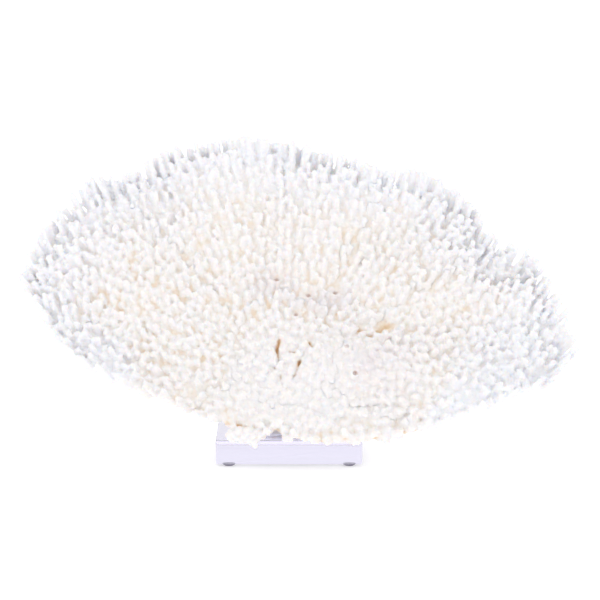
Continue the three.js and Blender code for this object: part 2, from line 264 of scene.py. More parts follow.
def linear(hex_colour):
    """An sRGB hex colour as a linear RGBA tuple."""
    values = [int(hex_colour[k:k + 2], 16) / 255 for k in (0, 2, 4)]
    return tuple(c / 12.92 if c <= 0.04045 else ((c + 0.055) / 1.055) ** 2.4 for c in values) + (1.0,)


def smooth(start, end, x):
    """0 before the start and 1 past the end, with a soft step between them."""
    t = np.clip((np.asarray(x, float) - start) / (end - start), 0, 1)
    return t * t * (3 - 2 * t)


def mix(a, b, t):
    """a for t = 0, b for t = 1 and what lies between."""
    return a + (b - a) * t


def reach(u, v):
    """Distance from the growth centre to the outermost tips in the direction of a point."""
    angle = np.degrees(np.arctan2(v, u)) % 360
    directions, distances = zip(*OUTLINE)
    dent = DENT["depth"] * np.exp(-((angle - DENT["direction"]) / DENT["width"]) ** 2)
    return np.interp(angle, directions, distances, period=360) - dent


def hump(u, v, shape):
    """A soft bump, 1 at a shape's place, that fades over its half sizes."""
    return np.exp(-((u - shape["u"]) / shape["radius_u"]) ** 2 - ((v - shape["v"]) / shape["radius_v"]) ** 2)


def relief(u, v):
    """Height of the plate's upper side out of the fan plane, between the branchlets."""
    r = np.hypot(u, v)
    angle = np.arctan2(v, u)
    bowl = BOWL["depth"] * (1 - np.exp(-(r / BOWL["reach"]) ** 2))
    ledge = smooth(SHELF["v"] - SHELF["width"] / 2, SHELF["v"] + SHELF["width"] / 2, v)
    shelf = SHELF["fall"] * ledge * smooth(SHELF["start_u"], SHELF["end_u"], u)
    wave = WAVES["height"] * np.sin(WAVES["lobes"] * angle + r / WAVES["length"]) * smooth(60, 220, r)
    return bowl + MOUND["height"] * hump(u, v, MOUND) - shelf - LUMP["drop"] * hump(u, v, LUMP) + wave


def cleft_depth(u, v):
    """How deep the clefts cut at a point."""
    depth = np.zeros(np.shape(u))
    for cleft in CLEFTS:
        for (u0, v0), (u1, v1) in zip(cleft["line"], cleft["line"][1:]):
            along = ((u - u0) * (u1 - u0) + (v - v0) * (v1 - v0)) / ((u1 - u0) ** 2 + (v1 - v0) ** 2)
            along = np.clip(along, 0, 1)
            away = np.hypot(u - mix(u0, u1, along), v - mix(v0, v1, along))
            depth = np.maximum(depth, cleft["depth"] * np.exp(-(away / cleft["half_width"]) ** 2))
    return depth


def surface(u, v):
    """The plate's upper side in detail: filled up between the centre's fused stubs, open at the clefts."""
    r = np.hypot(u, v - FUSED["v"])
    fill = np.maximum(smooth(FUSED["reach"], 0.5 * FUSED["reach"], r), hump(u, v, MOUND))
    return relief(u, v) + FUSED["fill"] * fill - cleft_depth(u, v)


def growth(u, v):
    """Growth direction of a branchlet in fan coordinates: out of the plate, outwards and up."""
    r = np.maximum(np.hypot(u, v), 1e-6)
    back = smooth(LEAN["front_end"], LEAN["back_full"], v / r)
    distance = smooth(0, LEAN["full_radius"], r)
    at_rim = smooth(SPREAD["rim_start"], SPREAD["rim_full"], r / reach(u, v))
    outward = mix(SPREAD["sides"], 1, np.maximum(abs(v / r), at_rim))
    outward = SPREAD["centre"] + SPREAD["rim"] * distance * outward
    upward = LEAN["up"] * back * mix(LEAN["centre_up"], 1, distance)
    direction = np.stack([
        outward * u / r,
        outward * v / r + upward * math.sin(FAN_TILT),
        LEAN["out"] + upward * math.cos(FAN_TILT),
    ], axis=-1)
    return direction / np.linalg.norm(direction, axis=-1, keepdims=True)


def lip_share(u, v):
    """1 on the front lip with its fat knobs, 0 over the rest of the fan."""
    return smooth(-30, -70, v) * smooth(-150, -60, u) * (1 - smooth(110, 190, u))


def knob_share(u, v):
    """1 in the lowest rows of the lip, where the knobs are fattest, 0 over the rest of the fan."""
    return lip_share(u, v) * smooth(52, 30, reach(u, v) - np.hypot(u, v))


def webbing(u, v):
    """How far the plate reaches up round the branchlets."""
    share = WEBBED["share"] * smooth(WEBBED["none"], WEBBED["full"], np.hypot(u, v) / reach(u, v))
    front = smooth(0.2, -0.4, v / np.maximum(np.hypot(u, v), 1e-6)) * (1 - knob_share(u, v))
    return share * (1 + 0.5 * front) * branchlet_length(u, v)


def branchlet_length(u, v):
    """Length of the branchlets round a point, from short at the centre to long at the back rim."""
    sizes = bpy.context.scene.branchlet_sizes
    r = np.maximum(np.hypot(u, v), 1e-6)
    sine = v / r
    rim_end = np.where(sine > 0, sizes.rim_back, sizes.rim_front) / MM
    rim = mix(sizes.rim_side / MM, rim_end, np.abs(sine))
    outwards = 0.55 * smooth(10, 120, r) + 0.45 * smooth(0.3, 1, r / reach(u, v))
    return mix(sizes.centre / MM, rim, outwards)


def thickness(u, v):
    """Thickness of the fused plate."""
    outwards = smooth(0.05, 0.9, np.hypot(u, v) / reach(u, v))
    return mix(PLATE["centre"], PLATE["rim"], outwards)


def polar(r, angle):
    """The point at a distance and a direction in radians from the growth centre."""
    return r * math.cos(angle), r * math.sin(angle)


def tips_at(angle):
    """Distance from the growth centre to the outermost tips in a direction in radians."""
    return float(reach(*polar(1, angle)))


def to_row(points):
    """Fan coordinates in millimetres to the row frame in metres."""
    return (np.asarray(points, float) @ FAN_AXES + GROWTH_CENTRE) * MM


def to_fan(points):
    """The row frame in metres to fan coordinates in millimetres."""
    return (points / MM - GROWTH_CENTRE) @ FAN_AXES.T


def crown_offset(u, v):
    """How far points lie outside the wavy seam round the crown."""
    u, v = np.asarray(u) - CROWN["u"], np.asarray(v) - CROWN["v"]
    wave = SEAM["crown_swing"] * np.sin(SEAM["crown_waves"] * np.arctan2(v, u))
    return np.hypot(u, v) - CROWN["radius"] - wave


def seam_sway(r):
    """How many degrees the seams between lobes swing to one side at a distance from the growth centre."""
    return np.degrees(SEAM["swing"] * np.sin(r / SEAM["pitch"]) / np.maximum(r, CROWN["radius"]))


def owner(u, v):
    """Name of the lobe that holds a point of the fan; the crown belongs to the stalk."""
    if crown_offset(u, v) < 0:
        return "coral_stalk"
    angle = math.degrees(math.atan2(v, u)) - float(seam_sway(math.hypot(u, v)))
    return next(name for name, (start, end) in LOBES.items() if (angle - start) % 360 < end - start)


def overshoot(u, v, name):
    """How far points lie past the seams of a lobe, negative on the lobe itself."""
    offset = crown_offset(u, v)
    if name == "coral_stalk":
        return offset
    start, end = LOBES[name]
    angle = np.degrees(np.arctan2(v, u)) - seam_sway(np.hypot(u, v))
    turn = (angle - (start + end) / 2 + 180) % 360 - 180
    return np.maximum(-offset, np.radians(np.abs(turn) - (end - start) / 2) * np.hypot(u, v))


def seam_lines():
    """Points along the seam at the start of each lobe, just on the lobe, from the crown to the rim."""
    lines = []
    for start in (math.radians(lobe[0]) for lobe in LOBES.values()):
        line = []
        r = CROWN["radius"] / 2
        while r < tips_at(start) - SEAM_ROW["from_tips"]:
            u, v = polar(r, start + math.radians(float(seam_sway(r))) + 1 / r)
            if math.hypot(u - CROWN["u"], v - CROWN["v"]) > CROWN["radius"] + SEAM_ROW["from_crown"]:
                line.append((u, v))
            r += SEAM_ROW["spacing"] * local_spacing(u, v)
        lines.append(line)
    return lines


def crown_ring():
    """Points one spacing apart round the crown."""
    around = int(2 * math.pi * CROWN["radius"] * MM / bpy.context.scene.fan_sizes.spacing)
    ring = [polar(CROWN["radius"], 2 * math.pi * k / around) for k in range(around)]
    return [(CROWN["u"] + u, CROWN["v"] + v) for u, v in ring]


def only(piece):
    """Selects one object alone and makes it the active one."""
    bpy.ops.object.select_all(action="DESELECT")
    piece.select_set(True)
    bpy.context.view_layer.objects.active = piece


@contextlib.contextmanager
def edit_mode(piece, action="SELECT"):
    """Edit mode on one object alone, with all or none of it selected, or as it was for None."""
    only(piece)
    bpy.ops.object.mode_set(mode="EDIT")
    if action:
        bpy.ops.mesh.select_all(action=action)
    yield
    bpy.ops.object.mode_set(mode="OBJECT")


def join(pieces, name):
    """Joins objects into the first one and names it."""
    only(pieces[0])
    for piece in pieces[1:]:
        piece.select_set(True)
    bpy.ops.object.join()
    pieces[0].name = name
    return pieces[0]


def positions(mesh):
    """The places of a mesh's vertices."""
    found = np.empty(len(mesh.vertices) * 3, np.float32)
    mesh.vertices.foreach_get("co", found)
    return found.reshape(-1, 3).astype(float)


def move_vertices(mesh, points):
    """Sets the places of a mesh's vertices."""
    mesh.vertices.foreach_set("co", np.asarray(points, np.float32).ravel())
    mesh.update()


def triangles(mesh):
    """A mesh's triangles as rows of three vertex numbers."""
    mesh.calc_loop_triangles()
    found = np.empty(len(mesh.loop_triangles) * 3, np.int32)
    mesh.loop_triangles.foreach_get("vertices", found)
    return found.reshape(-1, 3)


def object_from(name, points, faces):
    """A mesh object from arrays of points and triangles."""
    mesh = bpy.data.meshes.new(name)
    mesh.from_pydata(points, [], faces)
    mesh.validate()
    made = bpy.data.objects.new(name, mesh)
    bpy.context.scene.collection.objects.link(made)
    return made


def loft(rings, sides):
    """A closed tube: a filled circle extruded once for each further ring, then set ring by ring."""
    bpy.ops.object.select_all(action="DESELECT")
    bpy.ops.mesh.primitive_circle_add(vertices=sides, radius=1, fill_type="NGON")
    piece = bpy.context.active_object
    with edit_mode(piece):
        for _ in rings[1:]:
            bpy.ops.mesh.extrude_region_move(TRANSFORM_OT_translate={"value": (0, 0, 1)})
    old = positions(piece.data)
    level = np.rint(old[:, 2]).astype(int)
    around = np.rint(np.arctan2(old[:, 1], old[:, 0]) / (2 * math.pi) * sides).astype(int) % sides
    move_vertices(piece.data, np.array(rings)[level, around])
    with edit_mode(piece):
        bpy.ops.mesh.normals_make_consistent(inside=False)
    return piece


def circle(sides):
    """Points round a circle of radius 1."""
    angles = np.arange(sides) * 2 * math.pi / sides
    return np.stack([np.cos(angles), np.sin(angles), np.zeros(sides)], axis=1)


def finger(base, tip, radius, end_radius, sides=8, root=4.0):
    """One knobbly finger in millimetres, from its root below the plate to a rounded tip."""
    base, tip = np.array(base, float), np.array(tip, float)
    axis = (tip - base) / np.linalg.norm(tip - base)
    across = np.cross(axis, [0.31, 0.95, 0.0])
    across /= np.linalg.norm(across)
    other = np.cross(axis, across)
    length = np.linalg.norm(tip - base)
    steps = [(-root, 1.3), (0, 1.14), (0.22 * length, 1.04), (0.5 * length, 1.0), (0.78 * length, 0.96),
             (length - 0.8 * end_radius, 1.0), (length - 0.25 * end_radius, 0.74), (length, 0.3)]
    rings = []
    for height, width in steps:
        local = mix(radius, end_radius, np.clip(height / length, 0, 1)) * width
        rings.append([base + axis * height + across * x * local + other * y * local
                      for x, y, _ in circle(sides)])
    return loft(rings, sides)


def cup(place, radius):
    """A small side cup, the outer end of one polyp's tube."""
    bpy.ops.object.select_all(action="DESELECT")
    bpy.ops.mesh.primitive_ico_sphere_add(subdivisions=1, radius=radius, location=place)
    piece = bpy.context.active_object
    bpy.ops.object.transform_apply(location=True, rotation=True, scale=True)
    return piece


def branchlet_pattern(name, length, radius, chance, forks=0, cups=6, end=0.72):
    """A branchlet in millimetres that grows up Z: a finger, its forks and a spiral of side cups."""
    pieces = [finger((0, 0, 0), (0, 0, length), radius, end * radius)]
    for _ in range(forks):
        angle = chance.uniform(0, 2 * math.pi)
        height = chance.uniform(0.35, 0.6) * length
        spread = chance.uniform(0.34, 0.5) * (length - height) + 0.7 * radius
        tip = (spread * math.cos(angle), spread * math.sin(angle), length * chance.uniform(0.86, 1.0))
        pieces.append(finger((0, 0, height), tip, 0.8 * radius, 0.66 * radius, sides=7, root=1.0))
    turn = chance.uniform(0, 2 * math.pi)
    for k in range(cups):
        height = length * (0.2 + 0.72 * (k + chance.uniform(0.1, 0.9)) / cups)
        angle = turn + GOLDEN_TURN * k + chance.uniform(-0.3, 0.3)
        out = radius * mix(0.86, 0.74, height / length)
        size = radius * chance.uniform(0.36, 0.46)
        pieces.append(cup((out * math.cos(angle), out * math.sin(angle), height), size))
    return join(pieces, name)


def open_stub_pattern():
    """A broken-off stub in millimetres, with a sunk pore in its flat end."""
    length, radius, sides = OPEN_STUB["length"], OPEN_STUB["radius"], OPEN_STUB["sides"]
    steps = [(-4, 1.2), (0, 1.1), (0.5 * length, 1.0), (length, 0.95), (length, 0.5),
             (length - OPEN_STUB["pore"], 0.4)]
    rings = [[(x * radius * width, y * radius * width, height) for x, y, _ in circle(sides)]
             for height, width in steps]
    return loft(rings, sides)


@functools.lru_cache(maxsize=1)
def grow_lines():
    """Rows of branchlets that fan out from the growth centre and fork where they grow apart.

    Gives a list of rows, each with its (u, v) points in millimetres from the centre outwards.
    """
    chance = np.random.default_rng(bpy.context.scene.fan_sizes.seed)
    whole = 2 * math.pi
    rows = [{"angle": k * whole / ROWS["first"], "next": chance.uniform(4, 12), "points": []}
            for k in range(ROWS["first"])]
    radius = ROWS["start"]
    while radius < ROWS["end"]:
        radius += 1
        rows.sort(key=lambda row: row["angle"])
        for row in rows:
            row["alive"] = radius < tips_at(row["angle"]) - ROWS["from_tips"]
        for before, row, following in zip(rows[-1:] + rows[:-1], rows, rows[1:] + rows[:1]):
            back = (row["angle"] - before["angle"]) % whole
            ahead = (following["angle"] - row["angle"]) % whole
            if before["alive"] and following["alive"]:
                row["angle"] = (row["angle"] + 0.04 * (ahead - back) / 2) % whole
        born = []
        for row, following in zip(rows, rows[1:] + rows[:1]):
            gap = (following["angle"] - row["angle"]) % whole
            middle = row["angle"] + gap / 2
            space = local_spacing(*polar(radius, middle))
            if radius < tips_at(middle) - ROWS["from_tips"] and gap * radius > ROWS["fork"] * space:
                parent = row if row["alive"] else following
                root = parent["points"][-1:] if parent["alive"] else []
                born.append({"angle": middle % whole, "next": radius + chance.uniform(0, 0.8) * space,
                             "points": [], "root": root})
        rows += born
        for row in rows:
            if row.get("alive", True) and radius >= row["next"]:
                stray = chance.normal(0, 0.14) * local_spacing(0, 0) / radius
                row["angle"] = (row["angle"] + stray) % whole
                row["points"].append(polar(radius, row["angle"]))
                row["next"] = radius + local_spacing(*row["points"][-1]) * chance.uniform(0.88, 1.2)
    return rows


def local_spacing(u, v):
    """Distance from branchlet to branchlet round a point, in millimetres."""
    sizes = bpy.context.scene.fan_sizes
    return mix(sizes.spacing, sizes.lip_spacing, float(knob_share(u, v))) / MM


def apart(places, share):
    """Keeps those places that stand a share of the spacing or more from every place kept before."""
    kept = []
    cells = {}
    for place in places:
        u, v = place[:2]
        least = share * local_spacing(u, v)
        column, line = int(u // 16), int(v // 16)
        near = [p for a in (-1, 0, 1) for b in (-1, 0, 1) for p in cells.get((column + a, line + b), [])]
        if all((u - p[0]) ** 2 + (v - p[1]) ** 2 > least ** 2 for p in near):
            kept.append(place)
            cells.setdefault((column, line), []).append((u, v))
    return kept


def lip_knobs():
    """Rows of fat knobs along the lip's edge."""
    knobs = []
    for inset, turn in LIP_ROWS:
        angle = math.radians(LIP_EDGE[0])
        while angle < math.radians(LIP_EDGE[1]):
            tips = tips_at(angle)
            step = RIM_KNOB["step"] / tips
            place = angle + turn * step
            if inset > NOTCHED or not LIP_NOTCH[0] < math.degrees(place) < LIP_NOTCH[1]:
                knobs.append((*polar(tips - inset, place), "rim knob"))
            angle += step
    return knobs


@functools.lru_cache(maxsize=1)
def branchlet_spots():
    """Where branchlets stand on the whole fan, each as (u, v, kind)."""
    chance = np.random.default_rng(bpy.context.scene.fan_sizes.seed)
    places = [(u, v, "open") for u, v in OPEN_STUBS] + lip_knobs()
    seams = [(u, v, SEAM_ROW["stray"]) for u, v in crown_ring() + sum(seam_lines(), [])]
    # At the back the rows stay straight, towards the front the branchlets stray from them
    rows = [(u, v, 0.08 * local_spacing(u, v) * (1 + 1.6 * float(smooth(60, -40, v))))
            for row in grow_lines() for u, v in row["points"]]
    for u, v, stray in seams + rows:
        places.append((u + stray * chance.normal(), v + stray * chance.normal(), "branchlet"))
    places = apart(places, APART["row"])
    # Young branchlets fill what gaps are left
    grid = np.mgrid[-300:300:OFFER["step"], -120:290:OFFER["step"]].reshape(2, -1).T
    grid = grid + chance.uniform(-OFFER["stray"], OFFER["stray"], grid.shape)
    r, tips, lip = np.hypot(*grid.T), reach(*grid.T), lip_share(*grid.T) > 0.3
    inside = r < tips - 0.6 * branchlet_length(*grid.T) - OFFER["from_tips"]
    inside &= np.where(lip, r < tips - OFFER["from_lip"], r < OFFER["rim"] * tips)
    order = chance.permutation(np.flatnonzero(inside))
    places += [(*grid[k], "branchlet" if lip[k] else "young") for k in order]
    places = apart(places, APART["young"])
    # Thin twigs stand between the last fingers and fray the rim
    angle = 0.0
    while angle < 2 * math.pi:
        r = tips_at(angle) - chance.uniform(*TWIG["from_tips"])
        if knob_share(*polar(r, angle)) < 0.1:
            places.append((*polar(r, angle), "twig"))
        angle += TWIG["step"] / r
    places = apart(places, APART["twig"])
    return [place for place in places if place[2] == "open" or cleft_depth(*place[:2]) < 1.5]


@functools.lru_cache(maxsize=1)
def branchlet_patterns():
    """Patterns by kind, each with its own length, radius and mesh arrays; the objects are used up."""
    sizes = bpy.context.scene.branchlet_sizes
    chance = np.random.default_rng(bpy.context.scene.fan_sizes.seed)
    radius, knob = sizes.radius / MM, sizes.knob_radius / MM
    kinds = {
        "finger": [(23, radius, 0, 7), (23, radius, 0, 6), (23, radius, 1, 5), (21, radius, 1, 5)],
        "middle": [(15, radius, 0, 6), (15, radius, 0, 5), (14, 1.05 * radius, 1, 4)],
        "stub": [(9, 1.15 * radius, 0, 5), (9, 1.2 * radius, 0, 6), (8, 1.2 * radius, 1, 4)],
        "knob": [(13, knob, 0, 6), (13, knob, 1, 5), (12, knob, 1, 7)],
        "open": [(OPEN_STUB["length"], OPEN_STUB["radius"], 0, 0)],
    }
    made = {}
    for kind, members in kinds.items():
        made[kind] = []
        for length, size, forks, cups in members:
            end = 0.9 if kind in ("stub", "knob") else 0.78
            piece = (open_stub_pattern() if kind == "open" else
                     branchlet_pattern(kind, length, size, chance, forks, cups, end))
            made[kind].append((length, size, positions(piece.data), triangles(piece.data)))
            bpy.data.objects.remove(piece)
    return made


def stature(u, v, kind, chance):
    """Growth direction, length and radius of the branchlet at a spot, in millimetres."""
    sizes = bpy.context.scene.branchlet_sizes
    r, tips = math.hypot(u, v), float(reach(u, v))
    mound, lip = float(hump(u, v, MOUND)), float(knob_share(u, v))
    length = float(branchlet_length(u, v)) * chance.uniform(0.8, 1.18) * (1 - 0.4 * mound)
    direction = growth(np.array(u), np.array(v)) + chance.normal(0, 0.06, 3)
    direction /= np.linalg.norm(direction)
    # At the rim a branchlet ends where the outline does
    outwards = length * float(direction[0] * u + direction[1] * v) / max(r, 1)
    left = tips - r + chance.uniform(-1, 3)
    if r / tips > 0.8 and left < 1.6 * outwards:
        length *= np.clip(left / max(outwards, 1), 0.5, 1.5)
    radius = mix(sizes.radius, sizes.knob_radius, lip) / MM * chance.uniform(0.88, 1.14)
    # Towards the front the stubs are seen end on and stand close, fatter than the fingers at the back
    radius *= 1 + 0.27 * float(smooth(0.25, -0.6, v / r)) * (1 - lip)
    radius *= 1 + 0.2 * float(smooth(60, 20, r)) + 0.2 * mound
    radius *= 1 - 0.2 * float(smooth(0.88, 0.97, r / tips)) * (1 - lip)
    if kind == "young":
        length, radius = 0.62 * length, 0.86 * radius
    if kind == "twig":
        radius = TWIG["radius"] * chance.uniform(0.85, 1.2)
    if kind == "rim knob":
        out, up = RIM_KNOB["out"] / r, RIM_KNOB["up"]
        direction = np.array([out * u, out * v + up, RIM_KNOB["rise"]]) + chance.normal(0, 0.12, 3)
        length = RIM_KNOB["length"] * chance.uniform(0.85, 1.15)
        radius = RIM_KNOB["radius"] * chance.uniform(0.85, 1.15)
    return direction, length, radius


def plant(patterns, spots):
    """Copies a pattern onto each spot, leaned along its growth direction, as arrays in fan coordinates.

    A spot is (u, v, kind, size). What chance decides there depends on the spot alone, so that two lobes
    that share a spot at their seam grow the same branchlet there, one inside the other.
    """
    seed = bpy.context.scene.fan_sizes.seed
    up = np.array([0, math.sin(FAN_TILT), math.cos(FAN_TILT)])
    points, faces, pores, count = [], [], [], 0
    for u, v, kind, size in spots:
        chance = np.random.default_rng([seed, int(50 * (u + 400)), int(50 * (v + 400))])
        direction, length, radius = stature(u, v, kind, chance)
        length, radius = length * mix(1, size, 0.3), radius * size
        if kind != "open":
            slender = length / radius
            kind = ("knob" if knob_share(u, v) > 0.45 else
                    "finger" if slender > 5.6 else "middle" if slender > 3.6 else "stub")
        own_length, own_radius, shape, parts = patterns[kind][chance.integers(len(patterns[kind]))]
        if kind == "open":
            length, radius = own_length * chance.uniform(0.9, 1.3) * mix(1, size, 0.3), own_radius * size
        side = np.cross(direction, up)
        side /= np.linalg.norm(side)
        other = np.cross(side, direction)
        roll = chance.uniform(0, 2 * math.pi)
        x = (shape[:, 0] * math.cos(roll) - shape[:, 1] * math.sin(roll)) * radius / own_radius
        y = (shape[:, 0] * math.sin(roll) + shape[:, 1] * math.cos(roll)) * radius / own_radius
        z = shape[:, 2] * np.where(shape[:, 2] > 0, length / own_length, 1)
        share_up = np.clip(z / length, 0, 1)
        bend = 0.16 * length * chance.uniform(0.3, 1) * (share_up ** 2 - share_up)
        base = np.array([u, v, float(surface(u, v)) - 0.5])
        points.append(base + np.outer(z, direction) + np.outer(x, side) + np.outer(y, other)
                      + np.outer(bend, up))
        faces.append(parts + count)
        count += len(shape)
        if kind == "open":
            pores.append(base + length * direction)
    return np.concatenate(points), np.concatenate(faces), pores


def plate_solid(name):
    """The fused plate of one lobe, as an object in fan coordinates: a trimmed grid with a thickness."""
    across, along = GRID["width"], GRID["height"]
    bpy.ops.object.select_all(action="DESELECT")
    bpy.ops.mesh.primitive_grid_add(x_subdivisions=int(across / GRID["cell"]),
                                    y_subdivisions=int(along / GRID["cell"]), size=1)
    piece = bpy.context.active_object
    piece.name = name
    flat = positions(piece.data) * [across, along, 0] + [0, GRID["middle"], 0]
    move_vertices(piece.data, flat)
    keep = plate_holds(flat[:, 0], flat[:, 1], name)
    with edit_mode(piece):
        bpy.ops.mesh.select_mode(type="FACE")
    for polygon in piece.data.polygons:
        polygon.select = not all(keep[k] for k in polygon.vertices)
    with edit_mode(piece, None):
        bpy.ops.mesh.delete(type="FACE")
        bpy.ops.mesh.select_all(action="SELECT")
        bpy.ops.mesh.extrude_region_move(TRANSFORM_OT_translate={"value": (0, 0, -1)})
    points = positions(piece.data)
    u, v = points[:, 0], points[:, 1]
    # Past the seams the strip sinks into its neighbour
    sunk = SEAM["slope"] * np.maximum(overshoot(u, v, name), 0)
    top = surface(u, v) + webbing(u, v) - sunk
    bottom = relief(u, v) - 0.55 * thickness(u, v) + sunk
    points[:, 2] = np.where(points[:, 2] > -0.5, top, bottom)
    move_vertices(piece.data, points)
    with edit_mode(piece):
        bpy.ops.mesh.normals_make_consistent(inside=False)
    return piece


def plate_holds(u, v, name):
    """Which points lie on a lobe's plate, with a narrow strip past its seams so that neighbours meet."""
    rim = reach(u, v) - 0.55 * branchlet_length(u, v) - 3 - 2.5 * np.sin(0.31 * u + 0.17 * v)
    return (np.hypot(u, v) < rim) & (overshoot(u, v, name) < SEAM["strip"])


def new_tubes(name):
    """A curve whose points' radii are the radii of a six-sided tube."""
    curve = bpy.data.curves.new(name, "CURVE")
    curve.dimensions = "3D"
    curve.fill_mode = "FULL"
    curve.bevel_depth = 1
    curve.bevel_resolution = 1
    return curve


def tubes_to_mesh(curve):
    """Turns a curve's tubes into a mesh and closes their ends."""
    piece = bpy.data.objects.new(curve.name, curve)
    bpy.context.scene.collection.objects.link(piece)
    only(piece)
    bpy.ops.object.convert(target="MESH")
    with edit_mode(piece):
        bpy.ops.mesh.fill_holes(sides=0)
    return piece


def ribs(rows, name, chance):
    """The branches under one lobe along its rows and seams, as one mesh of tubes in fan coordinates."""
    curve = new_tubes(name)
    for row in rows + [{"points": line, "stout": RIB["seam"]} for line in seam_lines()]:
        if len(row["points"]) < 2:
            continue
        points = row.get("root", []) + row["points"]
        u, v = points[-1]
        r = math.hypot(u, v)
        end = float(reach(u, v)) - RIB["from_tips"]
        if end > r:
            points = points + [(u * end / r, v * end / r)]
        run = []
        for point in points + [None]:
            inside = point is not None and owner(*point) == name
            if inside or (point is not None and run):
                run.append(point)
            if run and not inside:
                if len(run) > 1:
                    add_rib(curve, run, chance, row.get("stout", 1))
                run = []
    return tubes_to_mesh(curve)


def add_rib(curve, run, chance, stout):
    """Adds a tube through a run of points, half sunk into the plate's underside."""
    spline = curve.splines.new("POLY")
    spline.points.add(len(run) - 1)
    for point, (u, v) in zip(spline.points, run):
        share = float(np.hypot(u, v) / reach(u, v))
        sunk = (0.72 * float(thickness(u, v)) + 0.6) * (1 - 0.75 * smooth(0.75, 1, share))
        point.co = (u, v, float(relief(u, v)) - sunk, 1)
        point.radius = stout * mix(RIB["centre"], RIB["rim"], share) * chance.uniform(0.82, 1.18)


def links(rows, name, chance):
    """Short cross branches between neighbouring rows under one lobe, as one mesh in fan coordinates."""
    curve = new_tubes(name)
    spots = np.array([point for row in rows for point in row["points"] if owner(*point) == name])
    space = bpy.context.scene.fan_sizes.spacing / MM
    for k, (u, v) in enumerate(spots):
        along, up = spots[:, 0] - u, spots[:, 1] - v
        gaps = np.hypot(along, up)
        sideways = np.abs(along * v - up * u) / (math.hypot(u, v) * np.maximum(gaps, 1e-6))
        close = (gaps > 0.5 * space) & (gaps < 1.7 * space) & (sideways > 0.6)
        near = np.flatnonzero(close & (np.arange(len(spots)) > k))
        if len(near) and chance.uniform() < LINK["share"]:
            add_rib(curve, [(u, v), tuple(spots[chance.choice(near)])], chance, LINK["stout"])
    piece = tubes_to_mesh(curve)
    move_vertices(piece.data, positions(piece.data) + [0, 0, LINK["lift"]])
    return piece


# The stalk from its flat cut up to the fan: centre, half width, half depth and lean, as the solids' stalk
STALK = [
    ((0, 3, 28.7), (37, 27), 0), ((-1, 2, 36), (33, 24), 6), ((-1, 2, 49), (30, 23), 18),
    ((-2, 2, 63), (32, 25), 32), ((-3, 0, 80), (36, 29), 46), ((-4, -4, 98), (42, 35), 58),
    ((-4, -11, 103), (43, 36), 60),
]


def stalk_solid():
    """The stalk, fluted and lofted from its cut to the crown, in the row frame in metres."""
    sides = 72
    a = np.arange(sides) * 2 * math.pi / sides
    rings = []
    for level, ((x, y, z), (half_width, half_depth), lean) in enumerate(STALK):
        tilt = math.radians(lean)
        swell = 1 + 0.06 * np.sin(3 * a + 1) + 0.05 * np.sin(9 * a + 0.5 * level) + 0.035 * np.sin(17 * a)
        across, along = half_width * swell * np.cos(a), half_depth * swell * np.sin(a)
        rings.append(np.stack([(x + across) * MM + BLOCK_MIDDLE.x,
                               (y + along * math.cos(tilt)) * MM + BLOCK_MIDDLE.y,
                               (z + along * math.sin(tilt)) * MM], axis=1))
    return loft(rings, sides)


def grow_piece(name):
    """One lobe: plate, ribs, links and branchlets fused into a single skin, in the row frame."""
    sizes = bpy.context.scene.fan_sizes
    chance = np.random.default_rng([sizes.seed, sum(name.encode())])
    rows, far = grow_lines(), SHARED["distance"]
    steps = ((0, 0), (far, 0), (-far, 0), (0, far), (0, -far))
    spots = [(u, v, kind, 1.0 if owner(u, v) == name else SHARED["size"])
             for u, v, kind in branchlet_spots() if name in {owner(u + du, v + dv) for du, dv in steps}]
    points, faces, pores = plant(branchlet_patterns(), spots)
    pieces = [plate_solid(name), ribs(rows, name, chance), links(rows, name, chance),
              object_from(name + "_branchlets", points, faces)]
    if name == "coral_front_lip":
        pieces.append(knobbly_lump(chance))
    whole = join(pieces, name + "_skin")
    move_vertices(whole.data, to_row(positions(whole.data)))
    if name == "coral_stalk":
        whole = join([whole, stalk_solid()], name + "_skin")
    finish = (
        ("Skin", "REMESH", {"mode": "VOXEL", "voxel_size": sizes.skin, "use_smooth_shade": True}),
        ("Soften", "SMOOTH", {"factor": 0.5, "iterations": 2}),
        ("Cups", "DISPLACE", {"texture": cup_texture(), "texture_coords": "LOCAL", "strength": -0.7 * MM,
                              "mid_level": 0.4}),
        ("Thin", "DECIMATE", {"ratio": sizes.kept}),
    )
    for label, kind, settings in finish:
        modifier = whole.modifiers.new(label, kind)
        for key, value in settings.items():
            setattr(modifier, key, value)
    only(whole)
    for label, _, _ in finish:
        bpy.ops.object.modifier_apply(modifier=label)
    return largest_part(whole), pores


def largest_part(piece):
    """Keeps the one skin that holds together and drops crumbs and closed bubbles."""
    with edit_mode(piece):
        bpy.ops.mesh.separate(type="LOOSE")
    parts = sorted(bpy.context.selected_objects, key=lambda part: len(part.data.vertices))
    for part in parts[:-1]:
        bpy.data.objects.remove(part)
    return parts[-1]


